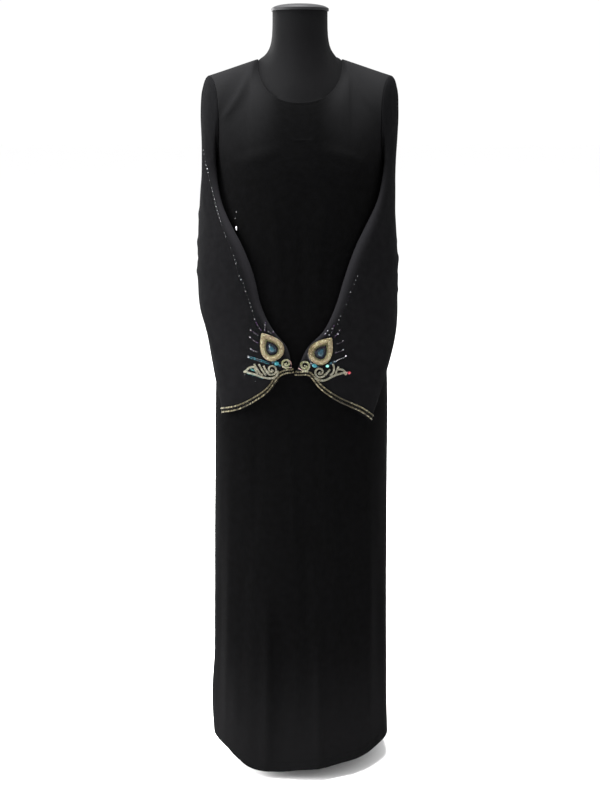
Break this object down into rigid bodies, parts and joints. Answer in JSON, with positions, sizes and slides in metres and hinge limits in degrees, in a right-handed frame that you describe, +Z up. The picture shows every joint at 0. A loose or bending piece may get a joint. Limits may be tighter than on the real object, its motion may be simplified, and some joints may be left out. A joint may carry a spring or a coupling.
{
  "type": "kaftan on a dress form",
  "caption": "Full-length pullover kaftan with beaded cuffs pinned together in front, worn on a limbless dress form with a round stand.",
  "frame": {"origin": "on the floor, at the middle of the underside of the stand's round base", "axes": "+Z up, -Y towards the viewer of the garment's front, +X towards the viewer's right"},
  "size_m": [0.408, 0.3157, 1.5843],
  "materials": {
    "front_cloth": "matte black crepe",
    "back_cloth": "matte black crepe",
    "sleeve_left_cloth": "matte black crepe",
    "sleeve_right_cloth": "matte black crepe",
    "edging_left_beads": "two rows of old-gold beads",
    "edging_right_beads": "two rows of old-gold beads",
    "teardrop_left_gold": "pale gold bead embroidery",
    "teardrop_right_gold": "pale gold bead embroidery",
    "leaf_left_silver": "silver-gold bead embroidery",
    "leaf_right_silver": "silver-gold bead embroidery",
    "leaf_scroll_left_cord": "gold beaded cord",
    "leaf_scroll_right_cord": "gold beaded cord",
    "curl_left_cord": "gold beaded cord",
    "curl_right_cord": "gold beaded cord",
    "form_jersey": "dark grey jersey cover",
    "neck_cap_plastic": "smooth black",
    "stand_base_metal": "satin black",
    "stand_pole_metal": "satin black"
  },
  "bodies": {
    "root": {"kaftan_front": "front_cloth", "kaftan_back": "back_cloth", "sleeve_left": "sleeve_left_cloth", "sleeve_right": "sleeve_right_cloth", "cuff_edging_left": "edging_left_beads", "cuff_edging_right": "edging_right_beads", "teardrop_left": "teardrop_left_gold", "teardrop_right": "teardrop_right_gold", "leaf_left": "leaf_left_silver", "leaf_right": "leaf_right_silver", "leaf_scroll_left": "leaf_scroll_left_cord", "leaf_scroll_right": "leaf_scroll_right_cord", "curl_left": "curl_left_cord", "curl_right": "curl_right_cord", "form_torso": "form_jersey", "form_neck_cap": "neck_cap_plastic", "stand_pole": "stand_pole_metal", "stand_base": "stand_base_metal"}
  },
  "joints": []
}
